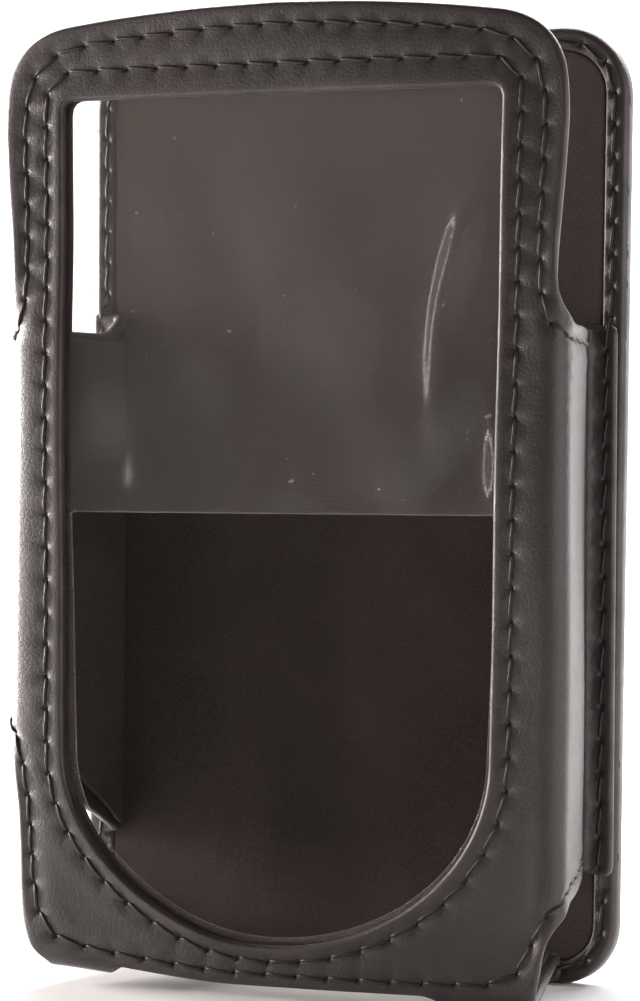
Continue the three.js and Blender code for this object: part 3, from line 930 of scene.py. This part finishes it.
def film_waves(points):
    """The film's soft bulges, in millimetres towards the front; it is flat where it is held."""
    x, z = points[:, 0], points[:, 1]
    held = smoothstep(0, 7, WINDOW_HALF - np.abs(x)) * smoothstep(0, 9, WINDOW_TOP - z)
    free = held * smoothstep(FILM_EDGE - 1, FILM_EDGE + 5, z)
    dome = 0.9 * np.exp(-((x - 9) / 13) ** 2 - ((z - 95) / 14) ** 2)
    hollow = -0.8 * np.exp(-((x + 8 + 0.25 * (z - 95)) / 4.5) ** 2 - ((z - 93) / 15) ** 2)
    bend = x - 21.3 - 0.012 * (z - 80) ** 2 * (z > 80)
    ridge = 0.9 * np.exp(-(bend / 2.0) ** 2) * smoothstep(64, 74, z) * (1 - smoothstep(106, 113, z))
    ripple = 0.16 * np.sin(x / 3.1 + z / 8.0) + 0.12 * np.sin(z / 4.3 - x / 9.0)
    corners = -1.1 * np.exp(-((np.abs(x) - 24) / 4.5) ** 2 - ((z - 68) / 8) ** 2)
    return free * (dome + hollow + ridge + ripple) + corners * smoothstep(0, 3, WINDOW_HALF - np.abs(x))


class CASE_OT_film(bpy.types.Operator):
    """Make the clear film over the screen"""

    bl_idname = "carrying_case.film"
    bl_label = "Clear Film"

    def execute(self, context):
        outline = window_outline(FILM_HIGH[0] - WINDOW_HALF)
        pattern = Pattern(outline, window_outline(-0.9, FILM_EDGE + 0.9), spacing=0.65)
        level = FRONT_Y - FILM_LOW[1] + 0.5 + film_waves(pattern.points)
        thickness = FILM_HIGH[1] - FILM_LOW[1]
        # Where the film's cut edge is, for the painted highlight that its finish puts along it.
        cut = np.exp(-(pattern.edge / 0.16) ** 2) * (np.abs(pattern.points[:, 0]) < WINDOW_HALF - 0.5)
        piece = sheet("screen_film", pattern, on_wrap, thickness, over=level, under=level, radius=0.1,
                      attributes={"painted_cut_edge_glint": cut})
        dress(piece, "clear_film", "window_film")
        return {"FINISHED"}


class CASE_OT_panel(bpy.types.Operator):
    """Make the back panel: its turned leather and its flocked lining"""

    bl_idname = "carrying_case.panel"
    bl_label = "Back Panel"

    def execute(self, context):
        settings = context.scene.carrying_case
        row = panel_row(settings.stitch_length / MM)
        rim = PANEL_TURNED_RIM
        inner_rows = (0.9, 1.3, rim - 0.25, rim, rim + 0.25)
        pattern = Pattern(panel_outline(), None, [row], spacing=2.2, rows=inner_rows)
        relief = dimples(pattern, [looped(row)], 0.34)
        step_down = 0.75 * smoothstep(rim - 0.15, rim + 0.2, pattern.edge)
        piece = sheet("back_panel_leather", pattern, on_panel_back, PANEL_THICK, over=relief,
                      under=-relief * 0.8 + step_down, radius=1.25)
        dress(piece, "nappa_leather", "back_leather")

        pattern = Pattern(panel_outline(rim + 0.12), None, spacing=2.4)
        thickness = BACK_LINING_HIGH[1] - BACK_LINING_LOW[1]
        level = np.full(len(pattern.points), BACK_LINING_HIGH[1] - PANEL_HIGH[1] - 0.1)
        quilt = 0.07 * np.sin(pattern.points[:, 0] / 5) * np.sin(pattern.points[:, 1] / 7)
        piece = sheet("back_flock_lining", pattern, on_panel_back, thickness, over=level,
                      under=level + quilt, radius=0.28)
        dress(piece, "flocked_lining", "back_lining")
        return {"FINISHED"}


LOOP_SEWN = 12.0
LOOP_CORNER = 3.0


def loop_line():
    """The belt loop's outer face in (up, depth), from its lower end, with the turn of its surface."""
    sewn = LOOP_HIGH[1] - 6.2
    low, high = LOOP_LOW[2], LOOP_HIGH[2]
    up = np.linspace(low, high, 400)
    rise = smoothstep(low + LOOP_SEWN - 1, low + LOOP_SEWN + 12, up)
    rise = rise * (1 - smoothstep(high - LOOP_SEWN - 12, high - LOOP_SEWN + 1, up))
    depth = sewn + (LOOP_HIGH[1] - sewn) * rise
    run = np.r_[0, np.cumsum(np.hypot(np.diff(up), np.diff(depth)))]
    return run, up, depth


def on_loop(points, height):
    """Places (across, run) points on the belt loop."""
    run, up, depth = loop_line()
    slope_up, slope_depth = np.gradient(up, run), np.gradient(depth, run)
    at = points[:, 1]
    normal = np.column_stack([
        np.zeros(len(at)), np.interp(at, run, slope_up), -np.interp(at, run, slope_depth)])
    normal /= np.linalg.norm(normal, axis=1)[:, None]
    crown = 0.25 * np.cos(points[:, 0] / 12)
    base = np.column_stack([points[:, 0], np.interp(at, run, depth), np.interp(at, run, up)])
    return base + normal * (height + crown)[:, None], normal


def rounded_box(low, high, corner):
    (x0, z0), (x1, z1) = low, high
    left, right, foot, top = x0 + corner, x1 - corner, z0 + corner, z1 - corner
    quarters = ((right, foot, -90), (right, top, 0), (left, top, 90), (left, foot, 180))
    return np.vstack([arc((x, z), (corner, corner), a, a + 90, 7) for x, z, a in quarters])


def loop_rows(step):
    """The two sewn rectangles, as rows in the loop's pattern, with stitches a little shorter."""
    step *= 0.85
    length = loop_line()[0][-1]
    half = LOOP_HIGH[0] - 2.4
    lower = rounded_box((-half, 2.4), (half, LOOP_SEWN - 2.4), 1.2)
    upper = lower + (0, length - LOOP_SEWN)
    return resample(lower, step), resample(upper, step)


class CASE_OT_loop(bpy.types.Operator):
    """Make the belt loop and its lining"""

    bl_idname = "carrying_case.loop"
    bl_label = "Belt Loop"

    def execute(self, context):
        settings = context.scene.carrying_case
        rows = loop_rows(settings.stitch_length / MM)
        length = loop_line()[0][-1]
        half = LOOP_HIGH[0]
        outline = rounded_box((-half, 0), (half, length), LOOP_CORNER)
        pattern = Pattern(outline, None, rows, spacing=1.6)
        relief = dimples(pattern, [looped(row) for row in rows])
        border = np.exp(-((pattern.edge - 2.4) / 0.35) ** 2)
        bow = smoothstep(LOOP_SEWN, LOOP_SEWN + 4, pattern.points[:, 1])
        bow = bow * (1 - smoothstep(length - LOOP_SEWN - 4, length - LOOP_SEWN, pattern.points[:, 1]))
        relief -= 0.12 * border * bow
        piece = sheet("belt_loop_leather", pattern, on_loop, LOOP_LEATHER, over=relief, radius=0.6)
        dress(piece, "nappa_leather", "belt_loop")

        skin = rounded_box((LOOP_SKIN_LOW[0], 21), (LOOP_SKIN_HIGH[0], length - 21), 2)
        pattern = Pattern(skin, None, spacing=2.4)
        level = np.full(len(pattern.points), -1.55)
        piece = sheet("belt_loop_flock", pattern, on_loop, LOOP_FLOCK, over=level, under=level, radius=0.2)
        dress(piece, "flocked_lining", "belt_loop_lining")
        return {"FINISHED"}


class CASE_OT_seams(bpy.types.Operator):
    """Sew every seam, stitch by stitch"""

    bl_idname = "carrying_case.seams"
    bl_label = "Seams"

    def execute(self, context):
        settings = context.scene.carrying_case
        step, radius = settings.stitch_length / MM, settings.thread_radius / MM
        lower, upper = loop_rows(step)
        seams = (
            ("head_edge_stitches", head_row(step), on_wrap, False, "head_edge_thread"),
            ("lower_edge_stitches", foot_row(step), on_wrap, False, "lower_edge_thread"),
            ("window_stitches", window_row(step), on_wrap, True, "window_thread"),
            ("panel_front_stitches", panel_row(step), on_panel_front, True, "panel_front_thread"),
            ("panel_back_stitches", panel_row(step), on_panel_back, True, "panel_back_thread"),
            ("loop_lower_stitches", lower, on_loop, True, "loop_lower_thread"),
            ("loop_upper_stitches", upper, on_loop, True, "loop_upper_thread"),
        )
        for name, row, place, closed, node in seams:
            piece = stitches(name, row, place, radius, closed)
            dress(piece, "sewing_thread", node)
        return {"FINISHED"}


class CASE_OT_board(bpy.types.Operator):
    """Give the board inside the back panel its finish"""

    bl_idname = "carrying_case.board"
    bl_label = "Back Board"

    def execute(self, context):
        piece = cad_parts["back_board"]
        piece.data.materials.clear()
        piece.data.materials.append(finish("fibre_board"))
        return {"FINISHED"}


# ---- Stage ----


def look_at(thing, target):
    thing.rotation_euler = (Vector(target) - thing.location).to_track_quat("-Z", "Y").to_euler()


def softbox(name, place, target, size, power, colour=(1, 1, 1)):
    lamp = bpy.data.lights.new(name, "AREA")
    lamp.shape = "RECTANGLE"
    lamp.size, lamp.size_y = size
    lamp.energy = power
    lamp.color = colour
    thing = bpy.data.objects.new(name, lamp)
    thing.location = place
    bpy.context.scene.collection.objects.link(thing)
    look_at(thing, target)


class CASE_OT_stage(bpy.types.Operator):
    """Set up the pale floor, the soft lights and the camera"""

    bl_idname = "carrying_case.stage"
    bl_label = "Studio"

    def execute(self, context):
        scene = context.scene
        azimuth = math.radians(21.3)
        sideways = Vector((math.cos(azimuth), math.sin(azimuth), 0))
        middle = Vector((0, 0, 0.5 * HEAD_TOP * MM)) - 0.0009 * sideways
        distance = 0.455
        camera = bpy.data.cameras.new("camera")
        camera.lens = 124.9
        camera.clip_start = 0.01
        eye = bpy.data.objects.new("camera", camera)
        eye.location = middle + distance * Vector((math.sin(azimuth), -math.cos(azimuth), 0))
        scene.collection.objects.link(eye)
        look_at(eye, middle)
        eye.rotation_euler.rotate_axis("Z", math.radians(0.5))
        scene.camera = eye

        reach, height, bend, turns = 3.0, 2.5, 0.8, 12
        profile = [(-reach, 0.0), (reach - bend, 0.0)]
        for i in range(1, turns + 1):
            angle = math.pi / 2 * i / turns
            profile.append((reach - bend + bend * math.sin(angle), bend - bend * math.cos(angle)))
        profile.append((reach, height))
        verts = [(x / MM, y / MM, z / MM) for y, z in profile for x in (-reach * 1.5, reach * 1.5)]
        faces = [(2 * i, 2 * i + 1, 2 * i + 3, 2 * i + 2) for i in range(len(profile) - 1)]
        floor = new_object("studio_floor", verts, faces)
        floor.data.materials.append(floor_material())

        world = bpy.data.worlds.new("studio")
        world.use_nodes = True
        world.node_tree.nodes["Background"].inputs["Color"].default_value = (1, 0.94, 0.92, 1)
        world.node_tree.nodes["Background"].inputs["Strength"].default_value = 0.10
        scene.world = world
        scene.view_settings.view_transform = "Standard"
        warm = (1.0, 0.93, 0.90)
        softbox("left_softbox", (-0.50, 0.01, 0.05), middle, (0.34, 0.30), 15, warm)
        softbox("right_softbox", (0.60, -0.12, 0.06), middle, (0.60, 0.45), 2.4, warm)
        softbox("film_strip", (-0.42, -0.40, 0.16), middle, (0.035, 0.40), 0.6, warm)
        softbox("backdrop_light", (0, 0.9, 1.6), (0, 2.6, 0.5), (3.0, 1.5), 110)
        softbox("floor_light", (0, 1.3, 1.2), (0, 1.0, 0), (2.0, 1.2), 60)
        return {"FINISHED"}


class CASE_PT_sidebar(bpy.types.Panel):
    """The carrying case's pieces and sizes"""

    bl_idname = "CASE_PT_sidebar"
    bl_label = "Carrying Case"
    bl_space_type = "VIEW_3D"
    bl_region_type = "UI"
    bl_category = "Carrying Case"

    def draw(self, context):
        settings = context.scene.carrying_case
        for key in CarryingCaseSettings.__annotations__:
            self.layout.prop(settings, key)
        for operator in OPERATORS:
            self.layout.operator(operator.bl_idname)


OPERATORS = (CASE_OT_stage, CASE_OT_wrap, CASE_OT_stiffener, CASE_OT_linings, CASE_OT_film, CASE_OT_panel,
             CASE_OT_loop, CASE_OT_seams, CASE_OT_board)
CLASSES = (CarryingCaseSettings, *OPERATORS, CASE_PT_sidebar)


def register():
    for cls in CLASSES:
        bpy.utils.register_class(cls)
    bpy.types.Scene.carrying_case = bpy.props.PointerProperty(type=CarryingCaseSettings)


def unregister():
    del bpy.types.Scene.carrying_case
    for cls in reversed(CLASSES):
        bpy.utils.unregister_class(cls)


def main():
    register()
    for operator in OPERATORS:
        group, name = operator.bl_idname.split(".")
        getattr(getattr(bpy.ops, group), name)()


if __name__ == "__main__":
    main()
